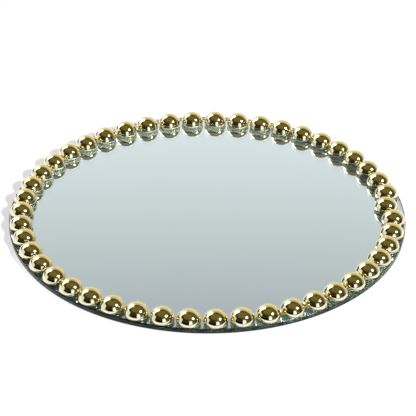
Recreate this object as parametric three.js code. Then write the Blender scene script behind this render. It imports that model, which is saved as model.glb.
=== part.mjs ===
// A round mirror tray: a silvered glass disc with a polished edge, a ring of gold half-round
// beads glued close to its rim, and four clear bumper feet under it.
// Millimetres, +Z up. The origin is the centre of the disc at the height that the feet stand on,
// with -Y towards the viewer.
import * as THREE from "three";

// Glass disc
const glassDiameter = 330;
const glassThickness = 4.5;
const arrisWidth = 0.6; // the ground bevel along both edges of the rim

// Coats on the back of the glass
const silverThickness = 0.1;
const paintThickness = 0.2;
const coatSetback = 0.4; // from the edge of the flat back to the edge of the coats

// Half-round beads
const beadDiameter = 19.6;
const beadHeight = 9.7;
const beadFootRound = 0.35; // moulded rounding where the flat back meets the dome
const beadMargin = 0.4; // from the outermost point of a bead to the rim of the glass
const beadLeastGap = 1; // along the ring, between two beads that are evenly spaced
const firstBeadAngle = THREE.MathUtils.degToRad(3.81);
const ringDrift = 2.1; // how far the beads lie off their even places along the ring, at most
const driftAngle = THREE.MathUtils.degToRad(50); // where they lie furthest back, and opposite it ahead
const strayBead = 1; // the bead that was glued on off the ring
const strayInset = 4.5; // how far that bead sits towards the centre
const wellClearance = 0.25; // from the innermost bead to the edge of the clear mirror

// Bumper feet
const footCount = 4;
const footDiameter = 12;
const footFaceDiameter = 8.8; // the flat face that it stands on
const footHeight = 2;
const footInset = 32; // from the rim of the glass to the centre of a foot
const firstFootAngle = THREE.MathUtils.degToRad(45);

// Facets
const glassFacets = 160;
const beadFacets = 24;
const beadDomeSteps = 4;
const footFacets = 24;
const footSideSteps = 3;

// Heights, from the feet upwards
const paintBottom = footHeight;
const silverBottom = paintBottom + paintThickness;
const glassBottom = silverBottom + silverThickness;
const glassTop = glassBottom + glassThickness;

const glassRadius = glassDiameter / 2;
const beadRadius = beadDiameter / 2;
const footRadius = footDiameter / 2;
const ringRadius = glassRadius - beadMargin - beadRadius;
const wellRadius = ringRadius - strayInset - beadRadius - wellClearance;

const glassMaterial = new THREE.MeshStandardMaterial({ color: 0xb7c4c4, metalness: 0.1, roughness: 0.03 });
const silverMaterial = new THREE.MeshStandardMaterial({ color: 0xdfe6e6, metalness: 1, roughness: 0.03 });
const paintMaterial = new THREE.MeshStandardMaterial({ color: 0x6f7678, metalness: 0, roughness: 0.6 });
const goldMaterial = new THREE.MeshStandardMaterial({ color: 0xdcb765, metalness: 1, roughness: 0.08 });
const rubberMaterial = new THREE.MeshStandardMaterial({ color: 0xe4e8e6, metalness: 0, roughness: 0.3 });

// Turns a profile of [radius, height] points, which starts and ends on the axis, about +Z.
// The profile runs from the bottom to the top, so that the faces point outwards.
function turned(profile, facets) {
  const points = profile.map(([radius, height]) => new THREE.Vector2(radius, height));
  return new THREE.LatheGeometry(points, facets).rotateX(Math.PI / 2);
}

function named(name, geometry, material, place = [0, 0, 0], turn = 0) {
  const mesh = new THREE.Mesh(geometry, material);
  mesh.name = name;
  mesh.position.set(...place);
  mesh.rotation.z = turn;
  return mesh;
}

// Points along a quarter of an ellipse, from its foot [across, 0] to its top [0, up], without the foot.
function quarterEllipse(across, up, base, steps) {
  return Array.from({ length: steps }, (_, i) => {
    const angle = ((i + 1) / steps) * (Math.PI / 2);
    const radius = i + 1 === steps ? 0 : across * Math.cos(angle);
    return [radius, base + up * Math.sin(angle)];
  });
}

// The disc: flat faces, a flat polished edge and an arris above and below it. The top is one plane,
// divided where the clear mirror inside the beads ends.
function glassGeometry() {
  const flatRadius = glassRadius - arrisWidth;
  return turned(
    [
      [0, 0],
      [flatRadius, 0],
      [glassRadius, arrisWidth],
      [glassRadius, glassThickness - arrisWidth],
      [flatRadius, glassThickness],
      [wellRadius, glassThickness],
      [0, glassThickness],
    ],
    glassFacets,
  );
}

// A coat covers the flat back and stops just short of its edge.
function coatGeometry(thickness) {
  const radius = glassRadius - arrisWidth - coatSetback;
  return turned([[0, 0], [radius, 0], [radius, thickness], [0, thickness]], glassFacets);
}

// A bead: a flat back, a small rounding and a dome that is nearly half a ball.
function beadGeometry() {
  const back = [[0, 0], [beadRadius - beadFootRound, 0], [beadRadius, beadFootRound]];
  const dome = quarterEllipse(beadRadius, beadHeight - beadFootRound, beadFootRound, beadDomeSteps);
  return turned([...back, ...dome], beadFacets);
}

// A foot: it swells from the face that it stands on to its full width where it is stuck on.
function footGeometry() {
  const faceRadius = footFaceDiameter / 2;
  const side = Array.from({ length: footSideSteps + 1 }, (_, i) => {
    const angle = (i / footSideSteps) * (Math.PI / 2);
    const radius = faceRadius + (footRadius - faceRadius) * Math.sin(angle);
    return [radius, footHeight * (1 - Math.cos(angle))];
  });
  return turned([[0, 0], ...side, [0, footHeight]], footFacets);
}

// The gold ring: as many beads as fit along it at the least gap. They were placed by hand, so they
// crowd a little on one side of the ring and stand apart on the other.
function beads() {
  const beadCount = Math.floor((2 * Math.PI * ringRadius) / (beadDiameter + beadLeastGap));
  const geometry = beadGeometry();
  const ring = new THREE.Group();
  for (let number = 1; number <= beadCount; number++) {
    const evenAngle = firstBeadAngle + ((number - 1) / beadCount) * 2 * Math.PI;
    const angle = evenAngle - (ringDrift / ringRadius) * Math.cos(evenAngle - driftAngle);
    const reach = number === strayBead ? ringRadius - strayInset : ringRadius;
    const place = [reach * Math.cos(angle), reach * Math.sin(angle), glassTop];
    const name = `bead_${String(number).padStart(2, "0")}`;
    ring.add(named(name, geometry, goldMaterial, place, angle));
  }
  return ring;
}

function feet() {
  const reach = glassRadius - footInset;
  const geometry = footGeometry();
  const set = new THREE.Group();
  for (let number = 1; number <= footCount; number++) {
    const angle = firstFootAngle + ((number - 1) / footCount) * 2 * Math.PI;
    const place = [reach * Math.cos(angle), reach * Math.sin(angle), 0];
    set.add(named(`bumper_foot_${number}`, geometry, rubberMaterial, place, angle));
  }
  return set;
}

const tray = new THREE.Group();
tray.add(
  named("mirror_glass", glassGeometry(), glassMaterial, [0, 0, glassBottom]),
  named("silver_coat", coatGeometry(silverThickness), silverMaterial, [0, 0, silverBottom]),
  named("backing_paint", coatGeometry(paintThickness), paintMaterial, [0, 0, paintBottom]),
  beads(),
  feet(),
);

export default tray;
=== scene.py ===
"""The looks of a round mirror tray: silvered glass, gold half-round beads, glue, paint and clear feet.
Metres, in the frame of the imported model: +Z up, -Y to the front."""

import math
import random
from collections import namedtuple

import bpy
from mathutils import Matrix, Vector

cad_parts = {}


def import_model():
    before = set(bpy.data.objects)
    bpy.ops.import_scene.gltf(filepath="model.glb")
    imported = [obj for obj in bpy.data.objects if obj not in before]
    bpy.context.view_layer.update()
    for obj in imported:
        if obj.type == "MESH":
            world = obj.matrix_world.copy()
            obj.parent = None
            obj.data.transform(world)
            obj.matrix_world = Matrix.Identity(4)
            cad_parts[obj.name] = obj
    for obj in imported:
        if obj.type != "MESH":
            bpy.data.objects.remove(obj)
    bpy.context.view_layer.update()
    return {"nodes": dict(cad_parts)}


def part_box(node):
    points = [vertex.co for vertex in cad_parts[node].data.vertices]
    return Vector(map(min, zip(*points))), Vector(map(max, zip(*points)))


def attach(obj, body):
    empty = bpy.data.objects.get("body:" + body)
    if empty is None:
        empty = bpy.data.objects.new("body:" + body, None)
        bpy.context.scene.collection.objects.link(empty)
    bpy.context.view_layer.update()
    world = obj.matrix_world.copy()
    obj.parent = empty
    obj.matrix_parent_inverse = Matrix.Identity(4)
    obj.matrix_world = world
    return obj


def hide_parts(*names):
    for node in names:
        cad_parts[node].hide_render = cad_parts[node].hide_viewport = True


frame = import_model()

MM = 0.001
RIGHT, BACK, UP = (1, 0, 0), (0, 1, 0), (0, 0, 1)
WHITE = (1.0, 1.0, 1.0)
SUNK = 0.02 * MM  # how far a piece reaches into the one that it is stuck to, so that no air lies between

# Camera, from the outline of the disc in the photograph
IMAGE_SIDE = 416
FOCAL_PIXELS = 1758.6
CAMERA_DISTANCE = 1.470  # from the middle of the mirror
CAMERA_ELEVATION = math.radians(32.25)
CAMERA_ROLL = 0.0035
CAMERA_CLIP = (0.05, 50.0)
CENTRE_PIXEL = (207.28, 212.85)  # where the middle of the mirror is seen
SENSOR = 36.0

# Glass
ARRIS = 0.6 * MM
DISC_STEPS = 360
GLASS_GREEN = (0.2, 0.6, 0.43)
GLASS_DENSITY = 15.0
WIPE_MARK_ROUGH = 0.02

# The ground and polished edge of the glass
EDGE_WIDTH = ARRIS + 0.05 * MM  # seen from above, in from the rim
EDGE_BLEND = 0.1 * MM
EDGE_DARK = (0.018, 0.055, 0.038)
EDGE_PAINTED_REFLECTION = (0.11, 0.22, 0.16)  # painted reflections of the beads, in patches on its upper half
EDGE_PAINTED_LAMP_LIGHT = (0.7, 0.85, 0.75)  # painted lamp light on its upper half at the front right
EDGE_FAR = (0.6, 0.66, 0.7)  # a tint painted paler at the back than in front, so that more of the white table shows through
EDGE_TURNS_LIGHT = (3.4 * MM, 5.4 * MM)  # the painted light on the upper half begins between these heights
EDGE_GLINT = (0.54, 0.62, 0.6)
EDGE_ROUGH = (0.03, 0.12)
EDGE_ROUGH_FRONT_RIGHT = 0.2  # where the lamp shows in the arris as a soft streak

# Film of glue under a bead
GLUE_STEPS = 48
GLUE_RADIUS = 9.5 * MM
GLUE_THICK = 0.55 * MM
GLUE_SEED = 11
GLUE_WAVES = ((2, 0.12 * MM), (3, 0.10 * MM), (7, 0.05 * MM))  # waves round its outline, and their height
GLUE_ROWS = (  # share of its radius, and height above the glass
    (0.90, -SUNK),
    (1.0, -SUNK),
    (0.985, 0.2 * GLUE_THICK),
    (0.97, 0.6 * GLUE_THICK),
    (0.96, GLUE_THICK + SUNK),
)
GLUE_PALE = ((0.60, 0.62, 0.51), (0.74, 0.75, 0.64))
# painted shade under the near beads on the left and the beads on the right, and painted light at the front
# right
GLUE_SHADE_NEAR_LEFT = (0.22, 0.25, 0.21)
GLUE_SHADE_RIGHT = (0.26, 0.32, 0.27)
GLUE_LIT_FRONT_RIGHT = (0.46, 0.52, 0.43)

# Bumper feet
FOOT_FACE_SHARE = 8.8 / 12  # of the foot's width, where it stands
FOOT_SEAT_SHARE = 0.98  # where it is sunk into the paint
FOOT_STEPS = 8

# Beads
BEAD_RADIUS = 9.8 * MM
BEAD_STEPS = 72
DOME_STEPS = 22
FOOT_ROUND = 0.35 * MM
FOOT_ROUND_STEPS = 4

# Sun
SUN_AZIMUTH = math.radians(-51)
SUN_ELEVATION = math.radians(36.5)
SUN_WIDTH = math.radians(3.5)
SUN_SHARE = 0.85  # of the light on a level surface; the rest comes from all round

# Table
TABLE_REACH = 6.0  # to either side and to the back
TABLE_FRONT = 0.27  # it ends this far in front of the middle, just below the picture
TABLE_TONE = 0.375  # how much of the light it gives back, as its shadows show it
# lower in front, to the camera only, which paints the shadow there fainter
TABLE_TONE_FRONT = 0.12
TABLE_SEEN = 1.03  # what it shows to the camera and through glass, where 1 is white
TABLE_IN_GOLD = (1.0, 1.02, 1.12)  # the tint of that in the gold
TABLE_DARKENS = (0.188, 0.228)  # painted dark reflection: in the gold, in front of the tray, between these distances from the middle
TABLE_DARK = 0.03

# The room that the gold mirrors. Angles are in degrees: azimuth 0 is right, 90 behind and -90 in front.
ROOM_LOW = (0.14, 0.135, 0.07)
ROOM_MIDDLE = (0.11, 0.095, 0.036)
ROOM_HIGH = (0.16, 0.14, 0.036)
ROOM_LEFT = (0.028, 0.02, 0.005)
ROOM_FRONT_LEFT = (0.005, 0.004, 0.002)
ROOM_VEIL = (0.40, 0.40, 0.29)  # low in front, to the mirror
ROOM_DIMMED = (0.75, 0.73, 0.7)  # its tint where things stand about
PATCH_RIGHT = {"azimuth": -17, "elevation": 9, "inner": 5, "outer": 19}
PATCH_RIGHT_COLOUR = (0.05, 0.037, 0.016)
PATCH_BEHIND = {"azimuth": 84, "elevation": 62, "inner": 6, "outer": 20}
PATCH_BEHIND_COLOUR = (0.10, 0.075, 0.018)

# The pale backdrop behind
WALL_LOW = (0.82, 0.79, 0.68)
WALL_MIDDLE = (0.75, 0.685, 0.43)
WALL_HIGH = (0.475, 0.405, 0.195)
WALL_RIGHT = (0.42, 0.38, 0.21)
WALL_WHITE = (1.0, 1.03, 0.95)
WALL_TOP = (1.22, 1.6)  # it fades out between these, as height over distance
WALL_LEFT_END = (129, 137)  # and between these azimuths

# The white board on the left, and the dark gap between it and the backdrop
BOARD_AZIMUTH, BOARD_HALF_WIDTH = 179, 25
BOARD_TOP = (27, 35)  # it fades out between these elevations
BOARD_COLOUR = (0.80, 0.83, 0.78)
GAP_COLOUR = (0.03, 0.034, 0.016)

# The lights in the room
SOFTBOX = {"azimuth": 140, "elevation": 39, "wide": 0.19, "tall": 0.38, "edge": 0.04, "lean": 39}
SOFTBOX_COLOUR = (2.4, 2.4, 2.5)
SOFTBOX_IN_MIRROR = (4.5, 4.5, 4.5)
STRIP_LOW = (1.5, 1.5, 1.55)
STRIP_HIGH = (1.0, 1.05, 1.05)
HALO = {"azimuth": -31, "elevation": 46, "inner": 4, "outer": 17}
HALO_COLOUR = (0.85, 0.85, 0.8)
LAMP = {"azimuth": -32, "elevation": 45, "inner": 2.5, "outer": 7.0}
LAMP_COLOUR = (30.0, 30.0, 30.0)

# What reaches the eye off a second bead and off the gold in the mirror, and what light reaches the glue
SECOND_BEAD_TINT = (0.9, 0.9, 0.7)
MIRRORED_TINT = (0.94, 1.0, 1.22)
MIRRORED_GREY = 0.75  # how far its colour turns grey
KEY_ON_GLUE = {"azimuth": -80, "elevation": 35, "inner": 20, "outer": 75}
KEY_COLOUR = (3.3, 3.3, 3.3)
FILL_COLOUR = (0.2, 0.2, 0.2)

# What the mirror shows to the camera, by elevation in degrees
MIRROR_HEIGHTS = (29, 33, 36, 60)
MIRROR_LOW = (0.90, 0.95, 1.035)
MIRROR_MIDDLE = (0.622, 0.67, 0.728)
MIRROR_HIGH = (0.43, 0.465, 0.525)
MIRROR_TOP_LEFT = (0.30, 0.31, 0.33)
MIRROR_TOP_RIGHT = (0.62, 0.64, 0.66)

MIX_SOCKETS = {"FLOAT": (2, 3, 0), "RGBA": (6, 7, 2)}  # a mix node's two inputs and its output

# The direction of a ray in the world, its parts, and its elevation and azimuth in degrees
Ray = namedtuple("Ray", "look x y z up turn")


# Node helpers


def tree_of(material):
    material.use_nodes = True
    tree = material.node_tree
    tree.nodes.clear()
    return tree


def put(tree, value, socket):
    """Sets a socket, or links another socket to it."""
    if isinstance(value, bpy.types.NodeSocket):
        tree.links.new(value, socket)
    elif hasattr(socket.default_value, "__len__") and len(socket.default_value) == 4 and len(value) == 3:
        socket.default_value = (*value, 1)
    else:
        socket.default_value = value


def calc(tree, operation, *values):
    node = tree.nodes.new("ShaderNodeMath")
    node.operation = operation
    for value, socket in zip(values, node.inputs):
        put(tree, value, socket)
    return node.outputs[0]


def inside_all(tree, *shares):
    """The product of shares from 0 to 1."""
    share = shares[0]
    for other in shares[1:]:
        share = calc(tree, "MULTIPLY", share, other)
    return share


def map_range(tree, shape, *numbers):
    """numbers are the value, its low and high ends and what they become."""
    node = tree.nodes.new("ShaderNodeMapRange")
    node.interpolation_type = shape
    for number, socket in zip(numbers, node.inputs):
        put(tree, number, socket)
    return node.outputs[0]


def step(tree, value, low, high, to_low=0.0, to_high=1.0):
    """A smooth step from to_low, at low, to to_high, at high."""
    return map_range(tree, "SMOOTHSTEP", value, low, high, to_low, to_high)


def fall(tree, value, low, high):
    """A smooth step down from 1, at low, to 0, at high."""
    return step(tree, value, low, high, 1.0, 0.0)


def ramp(tree, value, low, high):
    """0 at low and 1 at high, in a straight line."""
    return map_range(tree, "LINEAR", value, low, high, 0.0, 1.0)


def band(tree, value, low, high, soft):
    """1 between low and high, with smooth edges."""
    return inside_all(
        tree,
        step(tree, value, low - soft, low + soft),
        fall(tree, value, high - soft, high + soft),
    )


def mix(tree, kind, share, a, b):
    node = tree.nodes.new("ShaderNodeMix")
    node.data_type = kind
    first, second, result = MIX_SOCKETS[kind]
    put(tree, share, node.inputs["Factor"])
    put(tree, a, node.inputs[first])
    put(tree, b, node.inputs[second])
    return node.outputs[result]


def mix_colour(tree, share, a, b):
    """a where share is 0, b where it is 1."""
    return mix(tree, "RGBA", share, a, b)


def mix_value(tree, share, a, b):
    return mix(tree, "FLOAT", share, a, b)


def vector_math(tree, operation, vector, other=None):
    node = tree.nodes.new("ShaderNodeVectorMath")
    node.operation = operation
    put(tree, vector, node.inputs[0])
    if other is not None:
        node.inputs[1].default_value = other
    return node.outputs


def dot(tree, vector, other):
    return vector_math(tree, "DOT_PRODUCT", vector, other)["Value"]


def tinted(tree, colour, tint):
    return vector_math(tree, "MULTIPLY", colour, tint)[0]


def from_axis(tree, where):
    """The distance from the upright axis through the middle of the tray."""
    parts = tree.nodes.new("ShaderNodeSeparateXYZ")
    tree.links.new(where, parts.inputs[0])
    x, y = (calc(tree, "POWER", parts.outputs[i], 2.0) for i in (0, 1))
    return calc(tree, "SQRT", calc(tree, "ADD", x, y))


def noise(tree, where, scale, detail=3.0, roughness=0.5):
    node = tree.nodes.new("ShaderNodeTexNoise")
    put(tree, where, node.inputs["Vector"])
    put(tree, scale, node.inputs["Scale"])
    put(tree, detail, node.inputs["Detail"])
    put(tree, roughness, node.inputs["Roughness"])
    return node.outputs["Fac"]


def place(tree):
    """Where a point lies in the frame of its object."""
    return tree.nodes.new("ShaderNodeTexCoord").outputs["Object"]


def bump(tree, height, distance):
    node = tree.nodes.new("ShaderNodeBump")
    put(tree, distance, node.inputs["Distance"])
    put(tree, height, node.inputs["Height"])
    return node.outputs["Normal"]


def principled(tree, **sockets):
    """A Principled shader with the given sockets. Returns the output node that it is linked to."""
    node = tree.nodes.new("ShaderNodeBsdfPrincipled")
    for name, value in sockets.items():
        put(tree, value, node.inputs[name.replace("_", " ")])
    out = tree.nodes.new("ShaderNodeOutputMaterial")
    tree.links.new(node.outputs[0], out.inputs["Surface"])
    return out


# Materials


def gold_material():
    """Pale gold plating with a faint waviness of the moulding under it."""
    material = bpy.data.materials.new("gold_plating")
    tree = tree_of(material)
    at = place(tree)
    cloud = noise(tree, at, scale=60.0, detail=2.0)
    colour = mix_colour(tree, cloud, (0.95, 0.86, 0.575), (0.975, 0.89, 0.635))
    rough = step(tree, noise(tree, at, scale=900.0, detail=4.0), 0.3, 0.75, 0.035, 0.075)
    wave = bump(tree, noise(tree, at, scale=260.0, detail=1.0), distance=0.04 * MM)
    principled(tree, Base_Color=colour, Metallic=1.0, Roughness=rough, Normal=wave)
    return material


def edge_colour(tree, at, lit_front_right):
    """Of the ground edge: dark green in front, with painted reflections and lamp light on its upper half,
    and a tint painted paler at the back to let the white table show through.
    """
    # painted reflections of the beads in the edge, in patches
    painted_reflections = step(tree, noise(tree, at, scale=190.0), 0.35, 0.65)
    high = step(tree, dot(tree, at, UP), *EDGE_TURNS_LIGHT)
    near = mix_colour(tree, inside_all(tree, painted_reflections, high), EDGE_DARK, EDGE_PAINTED_REFLECTION)
    # painted lamp light at the front right
    near = mix_colour(tree, inside_all(tree, high, lit_front_right), near, EDGE_PAINTED_LAMP_LIGHT)
    # painted paler at the back, to let the white table show through
    back = step(tree, dot(tree, at, BACK), 0.0, 0.08)
    return mix_colour(tree, back, near, EDGE_FAR)


def glass_material():
    """Float glass: clear across its thickness and green along it, with a few wipe marks and a ground and
    polished edge, whose colour carries painted reflections and painted light."""
    material = bpy.data.materials.new("float_glass")
    tree = tree_of(material)
    at = place(tree)
    edge_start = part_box("mirror_glass")[1].x - EDGE_WIDTH
    edge = step(tree, from_axis(tree, at), edge_start, edge_start + EDGE_BLEND)
    # the front right, where lamp light is painted onto the edge and its arris streak is softened
    lit_front_right = step(tree, dot(tree, at, (1, -0.5, 0)), 0.06, 0.15)
    wiped = noise(tree, at, scale=14.0, detail=5.0, roughness=0.65)
    smear = step(tree, wiped, 0.55, 0.8, 0.0, WIPE_MARK_ROUGH)
    grind = step(tree, noise(tree, at, scale=700.0), 0.3, 0.7, *EDGE_ROUGH)
    grind = mix_value(tree, lit_front_right, grind, EDGE_ROUGH_FRONT_RIGHT)
    out = principled(
        tree,
        Base_Color=mix_colour(tree, edge, WHITE, edge_colour(tree, at, lit_front_right)),
        Roughness=mix_value(tree, edge, smear, grind),
        IOR=1.52,
        Transmission_Weight=1.0,
        Specular_Tint=mix_colour(tree, edge, WHITE, EDGE_GLINT),
    )
    body = tree.nodes.new("ShaderNodeVolumeAbsorption")
    body.inputs["Color"].default_value = (*GLASS_GREEN, 1)
    body.inputs["Density"].default_value = GLASS_DENSITY
    tree.links.new(body.outputs[0], out.inputs["Volume"])
    return material


def silver_material():
    """Silver on the back of the glass, with a hardly visible cloudiness."""
    material = bpy.data.materials.new("silver_layer")
    tree = tree_of(material)
    haze = noise(tree, place(tree), scale=25.0, detail=4.0)
    colour = mix_colour(tree, haze, (0.945, 0.955, 0.95), (0.96, 0.965, 0.955))
    principled(tree, Base_Color=colour, Metallic=1.0, Roughness=0.0)
    return material


def paint_material():
    """Grey backing paint, rolled on: a fine grain and cloudy patches."""
    material = bpy.data.materials.new("backing_paint")
    tree = tree_of(material)
    at = place(tree)
    cloud = noise(tree, at, scale=9.0, detail=5.0, roughness=0.6)
    grain = noise(tree, at, scale=1400.0, detail=2.0)
    colour = mix_colour(tree, cloud, (0.105, 0.125, 0.13), (0.15, 0.17, 0.175))
    rough = step(tree, grain, 0.3, 0.7, 0.42, 0.6)
    skin = bump(tree, grain, distance=0.06 * MM)
    principled(tree, Base_Color=colour, Roughness=rough, Normal=skin)
    return material


def glue_material():
    """Clear adhesive over the pale flat back of a bead. Painted shade darkens it under the near beads on
    the left and under the beads on the right, and painted light makes it paler under the beads at the front
    right."""
    material = bpy.data.materials.new("clear_glue")
    tree = tree_of(material)
    at = place(tree)
    x, y = dot(tree, at, RIGHT), dot(tree, at, BACK)
    colour = mix_colour(tree, noise(tree, at, scale=320.0), *GLUE_PALE)
    # painted shade under the near beads on the left
    shaded_near_left = fall(tree, dot(tree, at, (0.9, 1, 0)), -0.16, -0.06)
    colour = mix_colour(tree, shaded_near_left, colour, GLUE_SHADE_NEAR_LEFT)
    # painted shade under the beads on the right
    colour = mix_colour(tree, step(tree, x, 0.01, 0.14), colour, GLUE_SHADE_RIGHT)
    # painted light under the beads at the front right
    lit_front_right = inside_all(tree, fall(tree, y, -0.08, 0.0), step(tree, x, -0.08, 0.02))
    colour = mix_colour(tree, lit_front_right, colour, GLUE_LIT_FRONT_RIGHT)
    skin = bump(tree, noise(tree, at, scale=700.0, detail=2.0), distance=0.1 * MM)
    principled(tree, Base_Color=colour, Roughness=0.18, Normal=skin, IOR=1.48)
    return material


def rubber_material():
    """Clear soft polyurethane, slightly hazy."""
    material = bpy.data.materials.new("clear_rubber")
    tree = tree_of(material)
    rough = step(tree, noise(tree, place(tree), scale=500.0), 0.3, 0.7, 0.12, 0.25)
    principled(
        tree, Base_Color=(0.93, 0.95, 0.94), Roughness=rough, IOR=1.49, Transmission_Weight=0.9
    )
    return material


def beyond_the_front(tree, at):
    """1 on the table in front of the tray and to its right, 0 near the tray and on the left."""
    return inside_all(
        tree,
        step(tree, from_axis(tree, at), *TABLE_DARKENS),
        step(tree, dot(tree, at, RIGHT), -0.19, -0.15),
        fall(tree, dot(tree, at, BACK), -0.05, 0.0),
    )


def table_material():
    """A white table. What is seen of it is lifted to white, and it keeps the lamp's shadow, which is
    painted fainter in front. In the gold it shows a painted dark reflection beyond the front of the tray."""
    material = bpy.data.materials.new("white_table")
    tree = tree_of(material)
    at = place(tree)
    path = tree.nodes.new("ShaderNodeLightPath").outputs
    to_camera, in_glass, in_gold = (path[f"Is {kind} Ray"] for kind in ("Camera", "Transmission", "Glossy"))
    # painted dark reflection: the table is darkened in the gold beyond the front of the tray
    lit = mix_value(tree, inside_all(tree, beyond_the_front(tree, at), in_gold), 1.0, TABLE_DARK)
    # the shadow is painted fainter in front, for the camera only
    faded_shadow_front = inside_all(tree, to_camera, fall(tree, dot(tree, at, BACK), -0.09, -0.03))
    tone = mix_value(tree, faded_shadow_front, TABLE_TONE, TABLE_TONE_FRONT)
    diffuse = tree.nodes.new("ShaderNodeBsdfDiffuse")
    put(tree, inside_all(tree, lit, tone), diffuse.inputs["Color"])
    seen = calc(tree, "MAXIMUM", calc(tree, "MAXIMUM", to_camera, in_glass), in_gold)
    lifted = calc(tree, "SUBTRACT", TABLE_SEEN, tone)
    lift = tree.nodes.new("ShaderNodeEmission")
    put(tree, mix_colour(tree, in_gold, WHITE, TABLE_IN_GOLD), lift.inputs["Color"])
    put(tree, inside_all(tree, seen, lit, lifted), lift.inputs["Strength"])
    both = tree.nodes.new("ShaderNodeAddShader")
    tree.links.new(diffuse.outputs[0], both.inputs[0])
    tree.links.new(lift.outputs[0], both.inputs[1])
    out = tree.nodes.new("ShaderNodeOutputMaterial")
    tree.links.new(both.outputs[0], out.inputs["Surface"])
    return material


# Shapes


def all_round(steps):
    """The angles that divide a turn into steps."""
    return [2 * math.pi * i / steps for i in range(steps)]


def on_circle(radius, angle, height):
    return radius * math.cos(angle), radius * math.sin(angle), height


def slice_faces(first, rings, steps, i):
    """The i-th slice of a turned skin: a triangle at the vertex numbered first, and a face between each
    two of the rings of vertices that follow it."""
    j = (i + 1) % steps
    lowest = first + 1
    faces = [(first, lowest + j, lowest + i)]
    for low in range(lowest, lowest + (rings - 1) * steps, steps):
        high = low + steps
        faces.append((low + i, low + j, high + j, high + i))
    return faces


def turned(profile, steps):
    """Vertices and faces of a profile of (radius, height) points turned about Z. The profile starts and
    ends on the axis and runs from the bottom to the top."""
    verts = [(0.0, 0.0, profile[0][1])]
    for radius, height in profile[1:-1]:
        verts += [on_circle(radius, angle, height) for angle in all_round(steps)]
    verts.append((0.0, 0.0, profile[-1][1]))
    rings = len(profile) - 2
    top = 1 + (rings - 1) * steps
    last = len(verts) - 1
    faces = []
    for i in range(steps):
        faces += slice_faces(0, rings, steps, i)
        faces.append((top + i, top + (i + 1) % steps, last))
    return verts, faces


def swelling(start, wide, tall, steps):
    """Points of a quarter of an ellipse from (start, 0), without it, outwards and up to (wide, tall)."""
    angles = [(i / steps) * math.pi / 2 for i in range(1, steps + 1)]
    return [(start + (wide - start) * math.sin(angle), tall * (1 - math.cos(angle))) for angle in angles]


def piece(name, verts, faces, material, slot, at=(0, 0, 0), sharp_degrees=30):
    """A mesh on the tray's one body, shaded smooth up to an angle between its faces."""
    mesh = bpy.data.meshes.new(name)
    mesh.from_pydata([tuple(Vector(v) + Vector(at)) for v in verts], [], faces)
    mesh.polygons.foreach_set("use_smooth", [True] * len(mesh.polygons))
    mesh.set_sharp_from_angle(angle=math.radians(sharp_degrees))
    mesh.materials.append(material)
    mesh.update()
    made = bpy.data.objects.new(name, mesh)
    bpy.context.scene.collection.objects.link(made)
    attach(made, "root")
    return made


def middle_of(low, high, rise=0.0):
    """The middle of a box, rise above its lowest height."""
    return Vector(((low.x + high.x) / 2, (low.y + high.y) / 2, low.z + rise))


def glass_disc(material):
    low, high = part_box("mirror_glass")
    radius, flat = high.x, high.x - ARRIS
    profile = [
        (0, low.z),
        (flat, low.z),
        (radius, low.z + ARRIS),
        (radius, high.z - ARRIS),
        (flat, high.z),
        (0, high.z),
    ]
    made = piece("glass_disc", *turned(profile, DISC_STEPS), material, "glass")
    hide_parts("mirror_glass")


def silver_disc(material):
    low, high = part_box("silver_coat")
    top = high.z + SUNK
    profile = [(0, low.z), (high.x, low.z), (high.x, top), (0, top)]
    made = piece("silver_disc", *turned(profile, DISC_STEPS), material, "silver")
    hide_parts("silver_coat")


def bead_profile(radius, height):
    """A flat back, a small rounding at the foot and a dome."""
    foot = radius - FOOT_ROUND
    rise = height - FOOT_ROUND
    angles = [(i / DOME_STEPS) * math.pi / 2 for i in range(1, DOME_STEPS)]
    dome = [(radius * math.cos(angle), FOOT_ROUND + rise * math.sin(angle)) for angle in angles]
    return [(0, 0), (foot, 0), *swelling(foot, radius, FOOT_ROUND, FOOT_ROUND_STEPS), *dome, (0, height)]


def beads(names, material):
    """Each bead stands on its film of glue, and its top is where the CAD has it."""
    for name in names:
        low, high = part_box(name)
        profile = bead_profile(BEAD_RADIUS, high.z - low.z - GLUE_THICK)
        at = middle_of(low, high, rise=GLUE_THICK)
        made = piece(f"gold_{name}", *turned(profile, BEAD_STEPS), material, "gold", at, sharp_degrees=60)
        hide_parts(name)


def glue_patch(middle, phases, first):
    """Vertices and faces of the glue under one bead. first is the index of its first vertex."""
    verts = [tuple(middle + Vector((0, 0, -SUNK)))]
    for share, height in GLUE_ROWS:
        for angle in all_round(GLUE_STEPS):
            waves = zip(GLUE_WAVES, phases)
            wander = sum(size * math.sin(count * angle + phase) for (count, size), phase in waves)
            radius = share * (GLUE_RADIUS + wander)
            verts.append(tuple(middle + Vector(on_circle(radius, angle, height))))
    faces = []
    for i in range(GLUE_STEPS):
        faces += slice_faces(first, len(GLUE_ROWS), GLUE_STEPS, i)
    top = first + 1 + (len(GLUE_ROWS) - 1) * GLUE_STEPS
    faces.append(tuple(range(top, top + GLUE_STEPS)))
    return verts, faces


def glue_film(names, material):
    """Under each bead, a film of glue that has squeezed out a little and unevenly round its foot."""
    draw = random.Random(GLUE_SEED)
    verts, faces = [], []
    for name in names:
        low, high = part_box(name)
        phases = [draw.uniform(0, 2 * math.pi) for _ in GLUE_WAVES]
        more_verts, more_faces = glue_patch(middle_of(low, high), phases, len(verts))
        verts += more_verts
        faces += more_faces
    piece("bead_glue", verts, faces, material, "gold")


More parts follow.
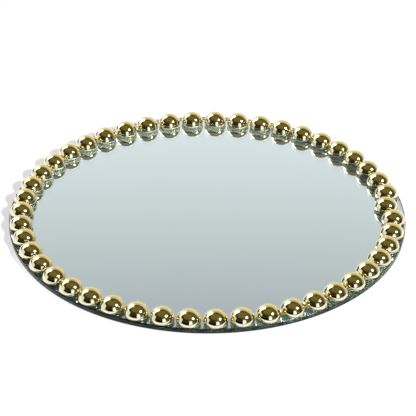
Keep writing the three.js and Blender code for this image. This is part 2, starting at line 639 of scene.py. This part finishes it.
def bumper_feet(names, material):
    """Each foot swells from the face that it stands on to where it is stuck on."""
    for name in names:
        low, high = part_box(name)
        wide, tall = (high.x - low.x) / 2, high.z - low.z
        face = wide * FOOT_FACE_SHARE
        profile = [(0, 0), (face, 0), *swelling(face, wide, tall, FOOT_STEPS)]
        profile += [(wide * FOOT_SEAT_SHARE, tall + SUNK), (0, tall + SUNK)]
        at = middle_of(low, high)
        made = piece(f"clear_{name}", *turned(profile, BEAD_STEPS), material, "foot_rubber", at)
        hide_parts(name)


def table(material):
    """It lies a little below the feet, so that no faces coincide."""
    mesh = bpy.data.meshes.new("table_top")
    corners = [
        (-TABLE_REACH, -TABLE_FRONT, -SUNK),
        (TABLE_REACH, -TABLE_FRONT, -SUNK),
        (TABLE_REACH, TABLE_REACH, -SUNK),
        (-TABLE_REACH, TABLE_REACH, -SUNK),
    ]
    mesh.from_pydata(corners, [], [(0, 1, 2, 3)])
    mesh.materials.append(material)
    made = bpy.data.objects.new("table_top", mesh)
    bpy.context.scene.collection.objects.link(made)


# Directions and forms in the world


def direction(azimuth, elevation):
    """A unit vector. Azimuth turns from +X to +Y."""
    level = math.cos(elevation)
    return Vector((level * math.cos(azimuth), level * math.sin(azimuth), math.sin(elevation)))


def bearings(tree):
    look = tree.nodes.new("ShaderNodeTexCoord").outputs["Generated"]
    x, y, z = (dot(tree, look, axis) for axis in (RIGHT, BACK, UP))
    up = calc(tree, "DEGREES", calc(tree, "ARCSINE", z))
    turn = calc(tree, "DEGREES", calc(tree, "ARCTAN2", y, x))
    return Ray(look, x, y, z, up, turn)


def card(tree, look, azimuth, elevation, wide, tall, edge, lean):
    """1 inside a flat card far away, 0 outside. wide, tall and edge are tangents of half angles."""
    towards = direction(math.radians(azimuth), math.radians(elevation))
    side = Vector(UP).cross(towards).normalized()
    turn = Matrix.Rotation(math.radians(lean), 3, towards)
    ahead, across, along = (dot(tree, look, v) for v in (towards, turn @ side, turn @ towards.cross(side)))
    ahead_safe = calc(tree, "MAXIMUM", ahead, 0.001)
    x, y = (calc(tree, "ABSOLUTE", calc(tree, "DIVIDE", part, ahead_safe)) for part in (across, along))
    return inside_all(
        tree,
        fall(tree, x, wide - edge, wide + edge),
        fall(tree, y, tall - edge, tall + edge),
        step(tree, ahead, 0.0, 0.02),
    )


def upright(tree, look, azimuth, half_width):
    """1 within half_width degrees of an azimuth, 0 outside, whatever the elevation."""
    level = vector_math(tree, "NORMALIZE", tinted(tree, look, (1, 1, 0)))[0]
    near = dot(tree, level, direction(math.radians(azimuth), 0))
    edge = (math.cos(math.radians(half_width + shift)) for shift in (3, -3))
    return step(tree, near, *edge)


def round_light(tree, look, azimuth, elevation, inner, outer):
    """1 inside a disc of light, 0 outside, by the angle from its middle in degrees."""
    near = dot(tree, look, direction(math.radians(azimuth), math.radians(elevation)))
    return step(tree, near, math.cos(math.radians(outer)), math.cos(math.radians(inner)))


# What the gold and the mirror see


def dim_room(tree, ray, in_mirror):
    """A dim warm room, darker at middle height on the left, low at the front left and in two patches. The
    mirror shows its low front paler. What stands about in it is out of focus."""
    from_right = calc(tree, "ABSOLUTE", ray.turn)  # either way
    colour = mix_colour(tree, step(tree, ray.up, 0, 18), ROOM_LOW, ROOM_MIDDLE)
    colour = mix_colour(tree, step(tree, ray.up, 40, 64), colour, ROOM_HIGH)
    left = inside_all(tree, band(tree, ray.up, 22, 46, soft=10), step(tree, from_right, 84, 100))
    colour = mix_colour(tree, left, colour, ROOM_LEFT)
    front_left = inside_all(tree, fall(tree, ray.up, 12, 24), fall(tree, ray.turn, -90, -83))
    colour = mix_colour(tree, front_left, colour, ROOM_FRONT_LEFT)
    colour = mix_colour(tree, round_light(tree, ray.look, **PATCH_RIGHT), colour, PATCH_RIGHT_COLOUR)
    colour = mix_colour(tree, round_light(tree, ray.look, **PATCH_BEHIND), colour, PATCH_BEHIND_COLOUR)
    veil = inside_all(tree, in_mirror, fall(tree, ray.up, 6, 20), fall(tree, ray.y, -0.2, 0.2))
    colour = mix_colour(tree, veil, colour, ROOM_VEIL)
    things = step(tree, noise(tree, ray.look, scale=3.5), 0.35, 0.65)
    return mix_colour(tree, things, tinted(tree, colour, ROOM_DIMMED), colour)


def with_backdrop(tree, ray, colour):
    """An upright pale wall behind, which fades upwards and to the right and is whitest at the back left."""
    behind = calc(tree, "MAXIMUM", ray.y, 0.001)
    steep = calc(tree, "DIVIDE", ray.z, behind)
    aside = calc(tree, "DIVIDE", ray.x, behind)
    wall = mix_colour(tree, step(tree, ray.up, 5, 30), WALL_LOW, WALL_MIDDLE)
    wall = mix_colour(tree, step(tree, ray.up, 26, 50), wall, WALL_HIGH)
    wall = mix_colour(tree, step(tree, aside, 0.2, 3.0), wall, WALL_RIGHT)
    wall = mix_colour(tree, band(tree, ray.turn, 109, 150, soft=12), wall, WALL_WHITE)
    share = inside_all(
        tree,
        fall(tree, steep, *WALL_TOP),
        fall(tree, ray.turn, *WALL_LEFT_END),
        step(tree, ray.y, 0.0, 0.04),
    )
    return mix_colour(tree, share, colour, wall)


def with_board(tree, ray, colour):
    """A white board on the left, and a low dark gap between it and the backdrop."""
    board = upright(tree, ray.look, BOARD_AZIMUTH, BOARD_HALF_WIDTH)
    board = inside_all(tree, board, fall(tree, ray.up, *BOARD_TOP))
    colour = mix_colour(tree, board, colour, BOARD_COLOUR)
    gap = inside_all(tree, band(tree, ray.turn, 130, 157, soft=4), fall(tree, ray.up, 4, 11))
    return mix_colour(tree, gap, colour, GAP_COLOUR)


def with_lights(tree, ray, colour, in_mirror):
    """A softbox at the back left, an upright strip in front and a lamp with its halo at the front right."""
    bright = mix_colour(tree, in_mirror, SOFTBOX_COLOUR, SOFTBOX_IN_MIRROR)
    colour = mix_colour(tree, card(tree, ray.look, **SOFTBOX), colour, bright)
    strip = inside_all(tree, band(tree, ray.turn, -84, -58, soft=3), fall(tree, ray.up, 28, 36))
    glow = mix_colour(tree, step(tree, ray.up, 0, 25), STRIP_LOW, STRIP_HIGH)
    colour = mix_colour(tree, strip, colour, glow)
    colour = mix_colour(tree, round_light(tree, ray.look, **HALO), colour, HALO_COLOUR)
    return mix_colour(tree, round_light(tree, ray.look, **LAMP), colour, LAMP_COLOUR)


def studio(tree, ray, in_mirror):
    """What the gold sees."""
    colour = dim_room(tree, ray, in_mirror)
    colour = with_backdrop(tree, ray, colour)
    colour = with_board(tree, ray, colour)
    return with_lights(tree, ray, colour, in_mirror)


def cooler(tree, colour):
    """Nearly grey and a little blue, which makes up for the warmth of the gold."""
    grey = tree.nodes.new("ShaderNodeRGBToBW")
    tree.links.new(colour, grey.inputs[0])
    return tinted(tree, mix_colour(tree, MIRRORED_GREY, colour, grey.outputs[0]), MIRRORED_TINT)


def mirrored(tree, ray):
    """What the mirror shows to the camera: a pale cool backdrop that darkens with height, and above it a
    ceiling that is darker on the left."""
    low, middle, high, top = MIRROR_HEIGHTS
    colour = mix_colour(tree, ramp(tree, ray.up, low, middle), MIRROR_LOW, MIRROR_MIDDLE)
    colour = mix_colour(tree, ramp(tree, ray.up, middle, high), colour, MIRROR_HIGH)
    ceiling = mix_colour(tree, step(tree, ray.x, -0.35, 0.35), MIRROR_TOP_LEFT, MIRROR_TOP_RIGHT)
    return mix_colour(tree, ramp(tree, ray.up, high, top), colour, ceiling)


# World, sun and camera


def world():
    """White to the camera, the studio to gold, a backdrop to the mirror and soft light to the rest."""
    made = bpy.data.worlds.new("studio")
    bpy.context.scene.world = made
    tree = tree_of(made)
    ray = bearings(tree)
    path = tree.nodes.new("ShaderNodeLightPath").outputs
    in_mirror = calc(tree, "GREATER_THAN", path["Transmission Depth"], 0.5)
    again = calc(tree, "GREATER_THAN", path["Glossy Depth"], 1.5)  # off a second bead, or by the mirror
    on_glue = calc(tree, "GREATER_THAN", path["Diffuse Depth"], 0.5)
    room = studio(tree, ray, in_mirror)
    second = mix_colour(tree, in_mirror, tinted(tree, room, SECOND_BEAD_TINT), cooler(tree, room))
    room = mix_colour(tree, again, room, second)
    # the mirror shows the backdrop to the camera and the room to a bead, and lets the lamp's light in
    in_glass = mix_colour(tree, again, mirrored(tree, ray), room)
    light = mix_colour(tree, round_light(tree, ray.look, **KEY_ON_GLUE), FILL_COLOUR, KEY_COLOUR)
    in_glass = mix_colour(tree, on_glue, in_glass, light)
    colour = mix_colour(tree, path["Is Glossy Ray"], (1 - SUN_SHARE,) * 3, room)
    colour = mix_colour(tree, path["Is Transmission Ray"], colour, in_glass)
    colour = mix_colour(tree, path["Is Camera Ray"], colour, WHITE)
    background = tree.nodes.new("ShaderNodeBackground")
    tree.links.new(colour, background.inputs["Color"])
    out = tree.nodes.new("ShaderNodeOutputWorld")
    tree.links.new(background.outputs[0], out.inputs["Surface"])


def sun():
    """The key light, which casts the shadows. The gold shows the lamp of the studio in its place."""
    light = bpy.data.lights.new("key", "SUN")
    light.angle = SUN_WIDTH
    light.energy = math.pi * SUN_SHARE / math.sin(SUN_ELEVATION)
    made = bpy.data.objects.new("key", light)
    made.rotation_euler = direction(SUN_AZIMUTH, SUN_ELEVATION).to_track_quat("Z", "Y").to_euler()
    made.visible_glossy = False
    bpy.context.scene.collection.objects.link(made)


def camera():
    """In front of the tray and above it, as the photograph was taken."""
    data = bpy.data.cameras.new("camera")
    data.sensor_width = SENSOR
    data.lens = SENSOR * FOCAL_PIXELS / IMAGE_SIDE
    data.clip_start, data.clip_end = CAMERA_CLIP
    made = bpy.data.objects.new("camera", data)
    bpy.context.scene.collection.objects.link(made)
    bpy.context.scene.camera = made
    back = direction(-math.pi / 2, CAMERA_ELEVATION)
    middle = Vector((0, 0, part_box("mirror_glass")[1].z))
    level = Vector(RIGHT)
    right = math.cos(CAMERA_ROLL) * level + math.sin(CAMERA_ROLL) * back.cross(level)
    up = back.cross(right).normalized()
    # the axis runs through the middle of the picture, a little off the middle of the mirror
    aside = (IMAGE_SIDE / 2 - CENTRE_PIXEL[0]) / FOCAL_PIXELS
    above = (CENTRE_PIXEL[1] - IMAGE_SIDE / 2) / FOCAL_PIXELS
    axis = (-back + right * aside + up * above).normalized()
    right = axis.cross(up).normalized()
    up = right.cross(axis)
    turn = Matrix((right, up, -axis)).transposed().to_4x4()
    made.matrix_world = Matrix.Translation(middle + back * CAMERA_DISTANCE) @ turn


bead_names = sorted(name for name in frame["nodes"] if name.startswith("bead_"))
foot_names = sorted(name for name in frame["nodes"] if name.startswith("bumper_foot_"))

glass_disc(glass_material())
silver_disc(silver_material())
frame["nodes"]["backing_paint"].data.materials.clear()
frame["nodes"]["backing_paint"].data.materials.append(paint_material())
beads(bead_names, gold_material())
glue_film(bead_names, glue_material())
bumper_feet(foot_names, rubber_material())

table(table_material())
sun()
world()
camera()
bpy.context.scene.view_settings.view_transform = "Standard"
bpy.context.scene.cycles.max_bounces = 24
bpy.context.scene.cycles.transmission_bounces = 16
bpy.context.scene.cycles.glossy_bounces = 8
